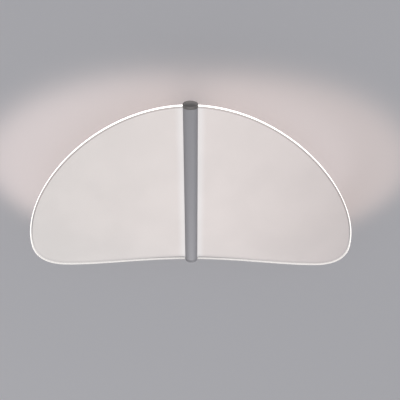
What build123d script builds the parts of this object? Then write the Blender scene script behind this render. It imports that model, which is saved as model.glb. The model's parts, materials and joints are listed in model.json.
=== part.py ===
from build123d import *
import math
import os

os.makedirs("parts", exist_ok=True)

# Ceiling light with two edge-lit acrylic wings held in a slotted aluminium rod.
# The ceiling is at z = 0, the rod runs along Y and its near end is at -Y.
# All sizes are in millimetres.

# Rod and caps
rod_drop = 80.0
rod_diameter = 30.0
tube_length = 386.0
cap_length = 7.0
cap_edge_chamfer = 0.5
spigot_length = 8.0

# Outline of one wing, with the pull of each curve's handles
wing_reach = 380.0
wing_widest_y = 158.0
wing_near_y = 197.0
wing_far_y = 198.5
lobe_x = 306.0
lobe_y = 218.0
arch_pull = 200.0
side_pull = 144.0
corner_side_pull = 43.0
corner_lobe_pull = 43.0
lobe_pull = 90.0
waist_pull = 120.0
wing_thickness = 6.0
wing_edge_chamfer = 0.6

# Slots of the rod, and the strips and grub screws that hold the wings
web_thickness = 2.5
pocket_width = 3.35
pocket_height = 5.4
slot_play = 0.2
slot_mouth_radius = 0.4
strip_width = 5.2
strip_thickness = 1.0
strip_play = 0.2
strip_shortfall = 14.0
screw_inset = 4.75
wing_screw_count = 4
wing_screw_pitch = 110.0
wing_screw_length = 5.0
grub_diameter = 3.0
cap_screw_length = 2.6
cap_screw_dimple = 0.5

# Wire duct above the slots and the hollow below them
duct_width = 14.0
duct_wall = 1.4
duct_skin = 2.2
seat_land = 1.5
hollow_width = 18.0
lead_space = 3.6

# Light strips
tape_thickness = 0.2
board_width = 5.0
board_thickness = 1.0
board_end_gap = 1.5
chip_length = 2.8
chip_width = 3.5
chip_height = 0.8
chip_pitch = 8.0
chip_end_gap = 4.0
lead_pad_length = 16.0

# Stems between rod and canopy
stem_spacing = 200.0
sleeve_diameter = 14.0
nipple_diameter = 10.0
nipple_bore = 7.0
nipple_tip = 2.0
slide_nut_length = 16.0
lock_nut_across_flats = 14.0
lock_nut_thickness = 4.0
lock_washer_diameter = 16.0
lock_washer_thickness = 1.0

# Canopy
canopy_length = 320.0
canopy_width = 28.0
canopy_bottom = 45.0
canopy_wall = 1.5
canopy_corner_radius = 3.0
canopy_edge_chamfer = 1.2
ceiling_gap = 0.5
side_screw_diameter = 4.0
side_screw_length = 8.0
side_screw_head_diameter = 7.0
side_screw_head_height = 2.4
side_screw_drop = 12.0
screw_slot_width = 1.0

# Ceiling bracket
bracket_width = 22.0
bracket_sheet = 1.5
bracket_flange = 6.0
bracket_tab = 16.0
bracket_play = 0.2
ceiling_slot_spacing = 200.0
ceiling_slot_length = 12.0
ceiling_slot_width = 4.5
cable_hole_y = 30.0
cable_hole_diameter = 12.0
bushing_bore = 9.0
bushing_flange_diameter = 16.0
bushing_flange_thickness = 1.2
bushing_skirt = 2.4
earth_stud_inset = 35.0
earth_stud_diameter = 4.0
earth_stud_length = 9.0

# Mains terminal block, earth lugs and wires
terminal_y = 50.0
terminal_length = 20.0
terminal_width = 16.0
terminal_height = 13.0
pole_spacing = 8.0
pole_depth = 5.5
pole_tube_size = 5.0
pole_tube_bore = 3.4
pole_tube_length = 16.0
pole_screw_spacing = 9.0
pole_screw_length = 5.0
pole_screw_diameter = 3.0
fixing_screw_diameter = 3.0
fixing_head_diameter = 6.0
fixing_head_height = 1.5
block_corner_radius = 1.0
mains_wire_diameter = 2.2
mains_turn = 3.0
mains_bend_share = 0.4
earth_wire_diameter = 2.2
earth_turn = 12.0
earth_bend_share = 0.25
lug_thickness = 0.8
lug_barrel_diameter = 3.6
lug_barrel_length = 6.0
lug_neck = 1.5
stem_lug_diameter = 15.0
stud_lug_diameter = 8.0
earth_washer_thickness = 0.8
earth_nut_across_flats = 7.0
earth_nut_thickness = 3.2
lead_diameter = 1.1
lead_spacing = 1.3
lead_bend_radius = 3.0
lead_drop_radius = 2.0
wire_sides = 6

# Driver that feeds the light strips
driver_width = 20.0
driver_height = 15.5
driver_wall = 1.5
driver_end_gap = 9.0
driver_pad_thickness = 1.0
driver_pad_length = 30.0
driver_board_thickness = 1.6
driver_board_headroom = 3.0
driver_ledge = 3.0
transformer_length = 22.0
transformer_height = 7.0
capacitor_diameter = 7.0
capacitor_length = 14.0
component_gap = 4.0

# Fits
thread_gap = 0.05
slip_gap = 0.1
hole_gap = 0.2
fit_gap = 0.2
overrun = 1.0

# Heights and places that follow from the sizes above
rod_radius = rod_diameter / 2
axis_z = -rod_drop
tube_end = tube_length / 2
half_wing = wing_thickness / 2
web_face = web_thickness / 2
slot_bottom_x = web_face + pocket_width
slot_roof = half_wing + slot_play
recess_roof = half_wing + strip_thickness + 2 * strip_play
strip_x = rod_radius - screw_inset
duct_floor = slot_roof + duct_wall
seat_radius = sleeve_diameter / 2 + hole_gap
seat_height = math.sqrt(rod_radius**2 - seat_radius**2)
duct_roof = seat_height - seat_land
slide_nut_thickness = duct_roof - duct_floor - lead_space
nipple_radius = nipple_diameter / 2
canopy_floor = -canopy_bottom + canopy_wall
canopy_inner_end = canopy_length / 2 - canopy_wall
bracket_end = canopy_inner_end - bracket_play
earth_stud_y = canopy_length / 2 - earth_stud_inset
pole_z = -bracket_sheet - pole_depth
pole_wire_z = pole_z + pole_tube_bore / 2 - mains_wire_diameter / 2
driver_length = stem_spacing - lock_washer_diameter - 2 * driver_end_gap
driver_base_z = canopy_floor + driver_pad_thickness
driver_top_z = driver_base_z + driver_height
driver_board_top = driver_top_z - driver_wall - driver_board_headroom
board_end = tube_end - board_end_gap

# Cross-section of the rod seen along Y, with its origin on the rod's axis
rod_section = Plane(origin=(0, 0, axis_z), x_dir=(1, 0, 0), z_dir=(0, -1, 0))


def duct_outline(gap):
    # The duct is flat on its floor, roof and sides, and follows the rod at its shoulders
    with BuildSketch() as outline:
        Circle(rod_radius - duct_skin - gap)
        with Locations((0, (duct_floor + duct_roof) / 2)):
            Rectangle(duct_width - 2 * gap, duct_roof - duct_floor - 2 * gap, mode=Mode.INTERSECT)
    return outline.sketch


def hollow_outline(gap):
    # The lower hollow is a segment of a circle with straight sides
    depth = rod_radius - duct_skin - duct_floor
    with BuildSketch() as outline:
        Circle(rod_radius - duct_skin - gap)
        with Locations((0, -duct_floor - depth / 2)):
            Rectangle(hollow_width - 2 * gap, depth - 2 * gap, mode=Mode.INTERSECT)
    return outline.sketch


# Rod: one extrusion with a slot on each side, a wire duct above and a hollow below
duct_face = duct_outline(0)
hollow_face = hollow_outline(0)
slot_depth = rod_radius + overrun - slot_bottom_x
slot_centre_x = slot_bottom_x + slot_depth / 2
pocket_centre_x = web_face + pocket_width / 2
slot_height = half_wing + slot_roof
slot_centre_z = (slot_roof - half_wing) / 2
lead_drop_x = web_face + tape_thickness + board_thickness + lead_diameter / 2
lead_drop_y = tube_end - spigot_length - 4 * lead_diameter
cap_screw_y = tube_end - spigot_length / 2
with BuildPart() as rod_tube:
    with BuildSketch(rod_section) as section:
        Circle(rod_radius)
        add(duct_face, mode=Mode.SUBTRACT)
        add(hollow_face, mode=Mode.SUBTRACT)
        with Locations((slot_centre_x, slot_centre_z), (-slot_centre_x, slot_centre_z)):
            Rectangle(slot_depth, slot_height, mode=Mode.SUBTRACT)
        with Locations((pocket_centre_x, 0), (-pocket_centre_x, 0)):
            Rectangle(pocket_width, pocket_height, mode=Mode.SUBTRACT)
        with Locations((strip_x, recess_roof / 2), (-strip_x, recess_roof / 2)):
            Rectangle(strip_width + 2 * strip_play, recess_roof, mode=Mode.SUBTRACT)
        mouths = section.vertices().filter_by(lambda corner: abs(corner.X) > rod_radius - overrun)
        fillet(mouths, slot_mouth_radius)
    extrude(amount=tube_end, both=True)
    # Flat seats milled for the stem sleeves, and the holes for the nipples
    with BuildSketch(Plane.XY.offset(axis_z + seat_height)):
        with GridLocations(0, stem_spacing, 1, 2):
            Circle(seat_radius)
    extrude(amount=rod_radius, mode=Mode.SUBTRACT)
    with BuildSketch(Plane.XY.offset(axis_z + duct_floor + lead_space)):
        with GridLocations(0, stem_spacing, 1, 2):
            Circle(nipple_radius + hole_gap)
    extrude(amount=rod_radius, mode=Mode.SUBTRACT)
    # Tapped holes for the grub screws of the wings and of the caps
    with BuildSketch(Plane.XY.offset(axis_z + half_wing)):
        with GridLocations(2 * strip_x, wing_screw_pitch, 2, wing_screw_count):
            Circle(grub_diameter / 2 + thread_gap)
    extrude(amount=rod_radius, mode=Mode.SUBTRACT)
    with BuildSketch(Plane.XY.offset(axis_z + duct_roof - overrun)):
        with GridLocations(0, 2 * cap_screw_y, 1, 2):
            Circle(grub_diameter / 2 + thread_gap)
    extrude(amount=rod_radius, mode=Mode.SUBTRACT)
    # Slots that let the leads down from the duct to the light strips
    with BuildSketch(Plane.XY.offset(axis_z)):
        with Locations((lead_drop_x, lead_drop_y), (-lead_drop_x, lead_drop_y)):
            Rectangle(2 * lead_diameter, lead_pad_length / 2)
    extrude(amount=duct_floor + overrun, mode=Mode.SUBTRACT)
rod_tube.part.label = "rod_tube"
export_step(rod_tube.part, "parts/rod_tube.step")


# Caps: a round end with two spigots that plug into the duct and the hollow
def make_cap(side):
    inner_face = Plane(origin=(0, side * tube_end, axis_z), x_dir=(-side, 0, 0), z_dir=(0, side, 0))
    upper = duct_outline(slip_gap)
    lower = hollow_outline(slip_gap)
    with BuildPart() as cap:
        with BuildSketch(inner_face):
            Circle(rod_radius)
        extrude(amount=cap_length)
        rim = cap.faces().sort_by(Axis.Y)[-1 if side > 0 else 0].edges()
        chamfer(rim, cap_edge_chamfer)
        with BuildSketch(inner_face):
            add(upper)
            add(lower)
        extrude(amount=-spigot_length)
        with BuildSketch(Plane.XY.offset(axis_z + duct_roof - slip_gap - cap_screw_dimple)):
            with Locations((0, side * cap_screw_y)):
                Circle(grub_diameter / 2 + slip_gap)
        extrude(amount=cap_screw_dimple, mode=Mode.SUBTRACT)
    return cap.part


for name, side in (("near", -1), ("far", 1)):
    cap = make_cap(side)
    cap.label = f"end_cap_{name}"
    export_step(cap, f"parts/end_cap_{name}.step")


# Grub screws with a hexagon socket, all pointing down
def grub_screw(tip_x, tip_y, tip_z, length):
    socket = grub_diameter / 2
    with BuildPart() as screw:
        with BuildSketch(Plane.XY.offset(tip_z)):
            with Locations((tip_x, tip_y)):
                Circle(grub_diameter / 2)
        extrude(amount=length)
        with BuildSketch(Plane.XY.offset(tip_z + length - socket)):
            with Locations((tip_x, tip_y)):
                RegularPolygon(socket / 2, 6)
        extrude(amount=socket, mode=Mode.SUBTRACT)
    return screw.part


cap_screw_tip = axis_z + duct_roof - slip_gap - cap_screw_dimple
with BuildPart() as cap_screws:
    for y in (-cap_screw_y, cap_screw_y):
        add(grub_screw(0, y, cap_screw_tip, cap_screw_length))
cap_screws.part.label = "cap_screws"
export_step(cap_screws.part, "parts/cap_screws.step")

wing_screw_tip = axis_z + half_wing + strip_thickness
first_screw_y = -(wing_screw_count - 1) / 2 * wing_screw_pitch
for name, side in (("left", -1), ("right", 1)):
    with BuildPart() as wing_screws:
        for index in range(wing_screw_count):
            y = first_screw_y + index * wing_screw_pitch
            add(grub_screw(side * strip_x, y, wing_screw_tip, wing_screw_length))
    wing_screws.part.label = f"wing_screws_{name}"
    export_step(wing_screws.part, f"parts/wing_screws_{name}.step")

# Wing: three curves drawn through the arch, the widest point, the lobe and the waist
wing_inner_x = rod_radius + fit_gap
tongue_length = tube_length - 2 * fit_gap
with BuildPart() as wing_right:
    with BuildSketch(Plane.XY.offset(axis_z - half_wing)):
        with BuildLine():
            arch = Bezier(
                (0, -wing_near_y),
                (arch_pull, -wing_near_y),
                (wing_reach, wing_widest_y - side_pull),
                (wing_reach, wing_widest_y),
            )
            corner = Bezier(
                arch @ 1,
                (wing_reach, wing_widest_y + corner_side_pull),
                (lobe_x + corner_lobe_pull, lobe_y),
                (lobe_x, lobe_y),
            )
            waist = Bezier(
                corner @ 1,
                (lobe_x - lobe_pull, lobe_y),
                (waist_pull, wing_far_y),
                (0, wing_far_y),
            )
            Line(waist @ 1, arch @ 0)
        make_face()
        # The sheet stops at the rod, and only a straight tongue goes into the slot
        Rectangle(2 * wing_inner_x, 2 * (wing_near_y + wing_far_y), mode=Mode.SUBTRACT)
        with Locations(((slot_bottom_x + wing_inner_x) / 2, 0)):
            Rectangle(wing_inner_x - slot_bottom_x, tongue_length)
    extrude(amount=wing_thickness)
    rims = wing_right.edges().filter_by(Plane.XY).filter_by(GeomType.LINE, reverse=True)
    chamfer(rims, wing_edge_chamfer)
wing_right.part.label = "wing_right"
export_step(wing_right.part, "parts/wing_right.step")

with BuildPart() as wing_left:
    mirror(wing_right.part, about=Plane.YZ)
wing_left.part.label = "wing_left"
export_step(wing_left.part, "parts/wing_left.step")

# Pressure strips, light strips, their adhesive tapes and their chips, one of each a side
strip_length = tube_length - 2 * strip_shortfall
tape_mid_x = web_face + tape_thickness / 2
board_mid_x = web_face + tape_thickness + board_thickness / 2
chip_mid_x = web_face + tape_thickness + board_thickness + chip_height / 2
chip_row_start = -board_end + chip_end_gap + chip_length / 2
chip_row_end = board_end - lead_pad_length - chip_length / 2
chip_count = int((chip_row_end - chip_row_start) / chip_pitch) + 1
chip_row_centre = chip_row_start + (chip_count - 1) * chip_pitch / 2
for name, side in (("left", -1), ("right", 1)):
    with BuildPart(Plane.XY.offset(axis_z + half_wing + strip_thickness / 2)) as clamp_strip:
        with Locations((side * strip_x, 0, 0)):
            Box(strip_width, strip_length, strip_thickness)
    clamp_strip.part.label = f"clamp_strip_{name}"
    export_step(clamp_strip.part, f"parts/clamp_strip_{name}.step")

    with BuildPart(Plane.XY.offset(axis_z)) as led_tape:
        with Locations((side * tape_mid_x, 0, 0)):
            Box(tape_thickness, 2 * board_end, board_width)
    led_tape.part.label = f"led_tape_{name}"
    export_step(led_tape.part, f"parts/led_tape_{name}.step")

    with BuildPart(Plane.XY.offset(axis_z)) as led_board:
        with Locations((side * board_mid_x, 0, 0)):
            Box(board_thickness, 2 * board_end, board_width)
    led_board.part.label = f"led_board_{name}"
    export_step(led_board.part, f"parts/led_board_{name}.step")

    with BuildPart(Plane.XY.offset(axis_z)) as led_chips:
        with Locations((side * chip_mid_x, chip_row_centre, 0)):
            with GridLocations(0, chip_pitch, 1, chip_count):
                Box(chip_height, chip_length, chip_width)
    led_chips.part.label = f"led_chips_{name}"
    export_step(led_chips.part, f"parts/led_chips_{name}.step")

# Stems: a sleeve, a hollow nipple, a slide nut in the duct, a washer and a lock nut
slide_nut_top = axis_z + duct_roof
slide_nut_bottom = slide_nut_top - slide_nut_thickness
with BuildSketch() as nut_outline:
    add(duct_outline(0))
    offset(amount=-slip_gap, kind=Kind.INTERSECTION)
    with Locations((0, duct_roof - slide_nut_thickness / 2)):
        Rectangle(duct_width, slide_nut_thickness, mode=Mode.INTERSECT)
nut_face = nut_outline.sketch
sleeve_bottom = axis_z + seat_height
sleeve_length = -canopy_bottom - sleeve_bottom
washer_top = canopy_floor + lock_washer_thickness
for name, side in (("near", -1), ("far", 1)):
    y = side * stem_spacing / 2
    with BuildPart() as stem_sleeve:
        with BuildSketch(Plane.XY.offset(sleeve_bottom)):
            with Locations((0, y)):
                Circle(sleeve_diameter / 2)
                Circle(nipple_radius + hole_gap, mode=Mode.SUBTRACT)
        extrude(amount=sleeve_length)
    stem_sleeve.part.label = f"stem_sleeve_{name}"
    export_step(stem_sleeve.part, f"parts/stem_sleeve_{name}.step")

    # The earth lug lies under the near lock nut
    nut_bottom = washer_top + (lug_thickness if side < 0 else 0)
    nipple_top = nut_bottom + lock_nut_thickness + nipple_tip
    with BuildPart() as nipple:
        with BuildSketch(Plane.XY.offset(slide_nut_bottom)):
            with Locations((0, y)):
                Circle(nipple_radius)
                Circle(nipple_bore / 2, mode=Mode.SUBTRACT)
        extrude(amount=nipple_top - slide_nut_bottom)
    nipple.part.label = f"threaded_nipple_{name}"
    export_step(nipple.part, f"parts/threaded_nipple_{name}.step")

    # The slide nut has the duct's own section, cut back to leave the leads their room
    with BuildPart() as slide_nut:
        with BuildSketch(rod_section.offset(-y)):
            with Locations((0, slip_gap)):
                add(nut_face)
        extrude(amount=slide_nut_length / 2, both=True)
        with BuildSketch(Plane.XY.offset(slide_nut_bottom)):
            with Locations((0, y)):
                Circle(nipple_radius + thread_gap)
        extrude(amount=rod_radius, mode=Mode.SUBTRACT)
    slide_nut.part.label = f"slide_nut_{name}"
    export_step(slide_nut.part, f"parts/slide_nut_{name}.step")

    with BuildPart() as lock_washer:
        with BuildSketch(Plane.XY.offset(canopy_floor)):
            with Locations((0, y)):
                Circle(lock_washer_diameter / 2)
                Circle(nipple_radius + hole_gap, mode=Mode.SUBTRACT)
        extrude(amount=lock_washer_thickness)
    lock_washer.part.label = f"lock_washer_{name}"
    export_step(lock_washer.part, f"parts/lock_washer_{name}.step")

    with BuildPart() as lock_nut:
        with BuildSketch(Plane.XY.offset(nut_bottom)):
            with Locations((0, y)):
                RegularPolygon(lock_nut_across_flats / 2, 6, major_radius=False)
                Circle(nipple_radius + thread_gap, mode=Mode.SUBTRACT)
        extrude(amount=lock_nut_thickness)
    lock_nut.part.label = f"lock_nut_{name}"
    export_step(lock_nut.part, f"parts/lock_nut_{name}.step")

# Canopy: a deep folded tray that is open towards the ceiling
canopy_depth = canopy_bottom - ceiling_gap
with BuildPart() as canopy:
    with BuildSketch(Plane.XY.offset(-canopy_bottom)):
        Rectangle(canopy_width, canopy_length)
    extrude(amount=canopy_depth)
    fillet(canopy.edges().filter_by(Axis.Z), canopy_corner_radius)
    chamfer(canopy.faces().sort_by(Axis.Z)[0].edges(), canopy_edge_chamfer)
    offset(amount=-canopy_wall, openings=canopy.faces().sort_by(Axis.Z)[-1])
    with BuildSketch(Plane.XY.offset(-canopy_bottom)):
        with GridLocations(0, stem_spacing, 1, 2):
            Circle(nipple_radius + hole_gap)
    extrude(amount=canopy_wall, mode=Mode.SUBTRACT)
    with BuildSketch(Plane.XZ):
        with Locations((0, -side_screw_drop)):
            Circle(side_screw_diameter / 2 + hole_gap)
    extrude(amount=canopy_length, both=True, mode=Mode.SUBTRACT)
canopy.part.label = "canopy"
export_step(canopy.part, "parts/canopy.step")

# Ceiling bracket: a shallow channel with a tapped tab folded down at each end
tab_centre_y = bracket_end - bracket_sheet / 2
with BuildPart() as ceiling_bracket:
    with BuildSketch(Plane.XZ):
        with Locations((0, -bracket_flange / 2)):
            Rectangle(bracket_width, bracket_flange)
        with Locations((0, -bracket_sheet - bracket_flange / 2)):
            Rectangle(bracket_width - 2 * bracket_sheet, bracket_flange, mode=Mode.SUBTRACT)
    extrude(amount=bracket_end, both=True)
    with Locations((0, tab_centre_y, -bracket_tab / 2), (0, -tab_centre_y, -bracket_tab / 2)):
        Box(bracket_width - 2 * bracket_sheet, bracket_sheet, bracket_tab)
    with BuildSketch(Plane.XZ):
        with Locations((0, -side_screw_drop)):
            Circle(side_screw_diameter / 2 + thread_gap)
    extrude(amount=canopy_length, both=True, mode=Mode.SUBTRACT)
    # Slots for the ceiling screws, the cable hole and the tapped hole of the terminal block
    with BuildSketch():
        with GridLocations(0, ceiling_slot_spacing, 1, 2):
            SlotOverall(ceiling_slot_length, ceiling_slot_width, rotation=90)
        with Locations((0, cable_hole_y)):
            Circle(cable_hole_diameter / 2)
        with Locations((0, -terminal_y)):
            Circle(fixing_screw_diameter / 2 + thread_gap)
    extrude(amount=-bracket_sheet, mode=Mode.SUBTRACT)
    with BuildSketch(Plane.XY.offset(-bracket_sheet)):
        with Locations((0, -earth_stud_y)):
            Circle(earth_stud_diameter / 2)
    extrude(amount=-earth_stud_length)
ceiling_bracket.part.label = "ceiling_bracket"
export_step(ceiling_bracket.part, "parts/ceiling_bracket.step")

# Rubber bushing in the cable hole, flush with the ceiling side
bushing_depth = bracket_sheet + bushing_flange_thickness + bushing_skirt
with BuildPart() as cable_bushing:
    with BuildSketch():
        with Locations((0, cable_hole_y)):
            Circle(cable_hole_diameter / 2)
    extrude(amount=-bushing_depth)
    with BuildSketch(Plane.XY.offset(-bracket_sheet)):
        with Locations((0, cable_hole_y)):
            Circle(bushing_flange_diameter / 2)
    extrude(amount=-bushing_flange_thickness)
    with BuildSketch():
        with Locations((0, cable_hole_y)):
            Circle(bushing_bore / 2)
    extrude(amount=-bushing_depth, mode=Mode.SUBTRACT)
cable_bushing.part.label = "cable_bushing"
export_step(cable_bushing.part, "parts/cable_bushing.step")

# Pan-head screws through the canopy's end walls into the tabs
head_plane_y = canopy_length / 2
with BuildPart() as canopy_screws:
    for side in (-1, 1):
        seat = Plane(origin=(0, side * head_plane_y, -side_screw_drop), z_dir=(0, side, 0))
        with BuildSketch(seat):
            Circle(side_screw_head_diameter / 2)
        extrude(amount=side_screw_head_height)
        with BuildSketch(seat):
            Circle(side_screw_diameter / 2)
        extrude(amount=-side_screw_length)
        with BuildSketch(seat.offset(side_screw_head_height)):
            Rectangle(screw_slot_width, side_screw_diameter)
            Rectangle(side_screw_diameter, screw_slot_width)
        extrude(amount=-side_screw_head_height / 2, mode=Mode.SUBTRACT)
canopy_screws.part.label = "canopy_screws"
export_step(canopy_screws.part, "parts/canopy_screws.step")

# Two-pole terminal block under the bracket, with its square clamping tubes and screws
terminal_plane = Plane.XY.offset(-bracket_sheet)
terminal_bottom = -bracket_sheet - terminal_height
with BuildPart() as terminal_block:
    with BuildSketch(terminal_plane):
        with Locations((0, -terminal_y)):
            Rectangle(terminal_width, terminal_length)
    extrude(amount=-terminal_height)
    fillet(terminal_block.edges().filter_by(Axis.Z), block_corner_radius)
    with BuildSketch(Plane.XZ.offset(terminal_y)):
        with Locations((pole_spacing / 2, pole_z), (-pole_spacing / 2, pole_z)):
            Rectangle(pole_tube_size + 2 * thread_gap, pole_tube_size + 2 * thread_gap)
    extrude(amount=terminal_length, both=True, mode=Mode.SUBTRACT)
    with BuildSketch(Plane.XY.offset(terminal_bottom)):
        with Locations((0, -terminal_y)):
            with GridLocations(pole_spacing, pole_screw_spacing, 2, 2):
                Circle(pole_screw_diameter / 2 + hole_gap)
    extrude(amount=pole_z - terminal_bottom, mode=Mode.SUBTRACT)
    with BuildSketch(Plane.XY.offset(terminal_bottom)):
        with Locations((0, -terminal_y)):
            Circle(fixing_screw_diameter / 2 + hole_gap)
    extrude(amount=terminal_height, mode=Mode.SUBTRACT)
terminal_block.part.label = "terminal_block"
export_step(terminal_block.part, "parts/terminal_block.step")

with BuildPart() as terminal_tubes:
    with BuildSketch(Plane.XZ.offset(terminal_y)):
        with Locations((pole_spacing / 2, pole_z), (-pole_spacing / 2, pole_z)):
            Rectangle(pole_tube_size, pole_tube_size)
            Rectangle(pole_tube_bore, pole_tube_bore, mode=Mode.SUBTRACT)
    extrude(amount=pole_tube_length / 2, both=True)
    with BuildSketch(Plane.XY.offset(terminal_bottom)):
        with Locations((0, -terminal_y)):
            with GridLocations(pole_spacing, pole_screw_spacing, 2, 2):
                Circle(pole_screw_diameter / 2 + thread_gap)
    extrude(amount=pole_z - terminal_bottom, mode=Mode.SUBTRACT)
terminal_tubes.part.label = "terminal_tubes"
export_step(terminal_tubes.part, "parts/terminal_tubes.step")

# Each clamping screw stops on the wire, and the fixing screw ends flush with the bracket
pole_screw_tip = pole_wire_z - mains_wire_diameter / 2
with BuildPart() as terminal_screws:
    with BuildSketch(Plane.XY.offset(pole_screw_tip)):
        with Locations((0, -terminal_y)):
            with GridLocations(pole_spacing, pole_screw_spacing, 2, 2):
                Circle(pole_screw_diameter / 2)
    extrude(amount=-pole_screw_length)
    with BuildSketch(Plane.XY.offset(pole_screw_tip - pole_screw_length)):
        with Locations((0, -terminal_y)):
            with GridLocations(pole_spacing, pole_screw_spacing, 2, 2):
                Rectangle(2 * pole_screw_diameter, screw_slot_width / 2)
    extrude(amount=screw_slot_width, mode=Mode.SUBTRACT)
terminal_screws.part.label = "terminal_screws"
export_step(terminal_screws.part, "parts/terminal_screws.step")

with BuildPart() as terminal_fixing_screw:
    with BuildSketch():
        with Locations((0, -terminal_y)):
            Circle(fixing_screw_diameter / 2)
    extrude(amount=terminal_bottom)
    with BuildSketch(Plane.XY.offset(terminal_bottom)):
        with Locations((0, -terminal_y)):
            Circle(fixing_head_diameter / 2)
    extrude(amount=-fixing_head_height)
    with BuildSketch(Plane.XY.offset(terminal_bottom - fixing_head_height)):
        with Locations((0, -terminal_y)):
            Rectangle(2 * fixing_head_diameter, screw_slot_width)
    extrude(amount=fixing_head_height / 2, mode=Mode.SUBTRACT)
terminal_fixing_screw.part.label = "terminal_fixing_screw"
export_step(terminal_fixing_screw.part, "parts/terminal_fixing_screw.step")


# Earth lugs: a flat ring, a neck and a six-sided crimp that points towards -Y
def ring_lug(centre_y, base_z, ring_diameter, hole_diameter, barrel_side):
    reach = ring_diameter / 2 + lug_neck
    barrel_face = Plane.XZ.offset(reach - centre_y)
    middle_z = base_z + lug_thickness / 2
    barrel_z = middle_z + barrel_side * (lug_barrel_diameter - lug_thickness) / 2
    with BuildPart() as lug:
        with BuildSketch(Plane.XY.offset(base_z)):
            with Locations((0, centre_y)):
                Circle(ring_diameter / 2)
            with Locations((0, centre_y - reach / 2)):
                Rectangle(lug_barrel_diameter, reach)
            with Locations((0, centre_y)):
                Circle(hole_diameter / 2 + hole_gap, mode=Mode.SUBTRACT)
        extrude(amount=lug_thickness)
        with BuildSketch(barrel_face):
            with Locations((0, barrel_z)):
                RegularPolygon(lug_barrel_diameter / 2, 6)
        extrude(amount=lug_barrel_length)
        with BuildSketch(barrel_face.offset(lug_thickness)):
            with Locations((0, barrel_z)):
                Circle(earth_wire_diameter / 2 + thread_gap)
        extrude(amount=lug_barrel_length, mode=Mode.SUBTRACT)
    return lug.part


stem_lug_y = -stem_spacing / 2
stud_washer_bottom = -bracket_sheet - earth_washer_thickness
stud_lug_bottom = stud_washer_bottom - lug_thickness
earth_lug_stem = ring_lug(stem_lug_y, washer_top, stem_lug_diameter, nipple_diameter, 1)
earth_lug_stem.label = "earth_lug_stem"
export_step(earth_lug_stem, "parts/earth_lug_stem.step")
earth_lug_stud = ring_lug(-earth_stud_y, stud_lug_bottom, stud_lug_diameter, earth_stud_diameter, -1)
earth_lug_stud.label = "earth_lug_stud"
export_step(earth_lug_stud, "parts/earth_lug_stud.step")

with BuildPart() as earth_washer:
    with BuildSketch(Plane.XY.offset(stud_washer_bottom)):
        with Locations((0, -earth_stud_y)):
            Circle(stud_lug_diameter / 2)
            Circle(earth_stud_diameter / 2 + hole_gap, mode=Mode.SUBTRACT)
    extrude(amount=earth_washer_thickness)
earth_washer.part.label = "earth_washer"
export_step(earth_washer.part, "parts/earth_washer.step")

with BuildPart() as earth_nut:
    with BuildSketch(Plane.XY.offset(stud_lug_bottom)):
        with Locations((0, -earth_stud_y)):
            RegularPolygon(earth_nut_across_flats / 2, 6, major_radius=False)
            Circle(earth_stud_diameter / 2 + thread_gap, mode=Mode.SUBTRACT)
    extrude(amount=-earth_nut_thickness)
earth_nut.part.label = "earth_nut"
export_step(earth_nut.part, "parts/earth_nut.step")

# Driver: a tray on two adhesive pads, its lid, and the board with its parts inside
driver_end = driver_length / 2
mains_wire_z = driver_board_top + mains_wire_diameter / 2
lead_z = driver_board_top + lead_diameter / 2
board_underside = driver_board_top - driver_board_thickness
inner_width = driver_width - 2 * driver_wall
inner_length = driver_length - 2 * driver_wall
lid_z = driver_top_z - driver_wall
with BuildPart() as driver_tray:
    with BuildSketch(Plane.XY.offset(driver_base_z)):
        Rectangle(driver_width, driver_length)
    extrude(amount=driver_height - driver_wall)
    with BuildSketch(Plane.XY.offset(driver_base_z + driver_wall)):
        Rectangle(inner_width, inner_length)
    extrude(amount=driver_height, mode=Mode.SUBTRACT)
    with BuildSketch(Plane.XY.offset(driver_base_z + driver_wall)):
        with GridLocations(0, inner_length - driver_ledge, 1, 2):
            Rectangle(inner_width, driver_ledge)
    extrude(amount=board_underside - driver_base_z - driver_wall)
    with BuildSketch(Plane.XZ.offset(driver_end)):
        with Locations((pole_spacing / 2, mains_wire_z), (-pole_spacing / 2, mains_wire_z)):
            Circle(mains_wire_diameter / 2 + slip_gap)
    extrude(amount=-driver_wall, mode=Mode.SUBTRACT)
    with BuildSketch(Plane.XZ.offset(-driver_end)):
        with Locations((0, lead_z)):
            SlotOverall(4 * lead_spacing + 2 * slip_gap, lead_diameter + 2 * slip_gap)
    extrude(amount=driver_wall, mode=Mode.SUBTRACT)
driver_tray.part.label = "driver_tray"
export_step(driver_tray.part, "parts/driver_tray.step")

with BuildPart() as driver_lid:
    with BuildSketch(Plane.XY.offset(lid_z)):
        Rectangle(driver_width, driver_length)
    extrude(amount=driver_wall)
    with BuildSketch(Plane.XY.offset(lid_z)):
        Rectangle(inner_width - 2 * slip_gap, inner_length - 2 * slip_gap)
        Rectangle(inner_width - 2 * driver_wall, inner_length - 2 * driver_wall, mode=Mode.SUBTRACT)
    extrude(amount=-slot_play)
driver_lid.part.label = "driver_lid"
export_step(driver_lid.part, "parts/driver_lid.step")

with BuildPart() as driver_board:
    with BuildSketch(Plane.XY.offset(board_underside)):
        Rectangle(inner_width - 2 * fit_gap, inner_length - 2 * fit_gap)
    extrude(amount=driver_board_thickness)
driver_board.part.label = "driver_board"
export_step(driver_board.part, "parts/driver_board.step")

with BuildPart() as driver_transformer:
    with BuildSketch(Plane.XY.offset(board_underside)):
        Rectangle(inner_width - component_gap, transformer_length)
    extrude(amount=-transformer_height)
    fillet(driver_transformer.edges().filter_by(Axis.Z), block_corner_radius)
driver_transformer.part.label = "driver_transformer"
export_step(driver_transformer.part, "parts/driver_transformer.step")

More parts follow.
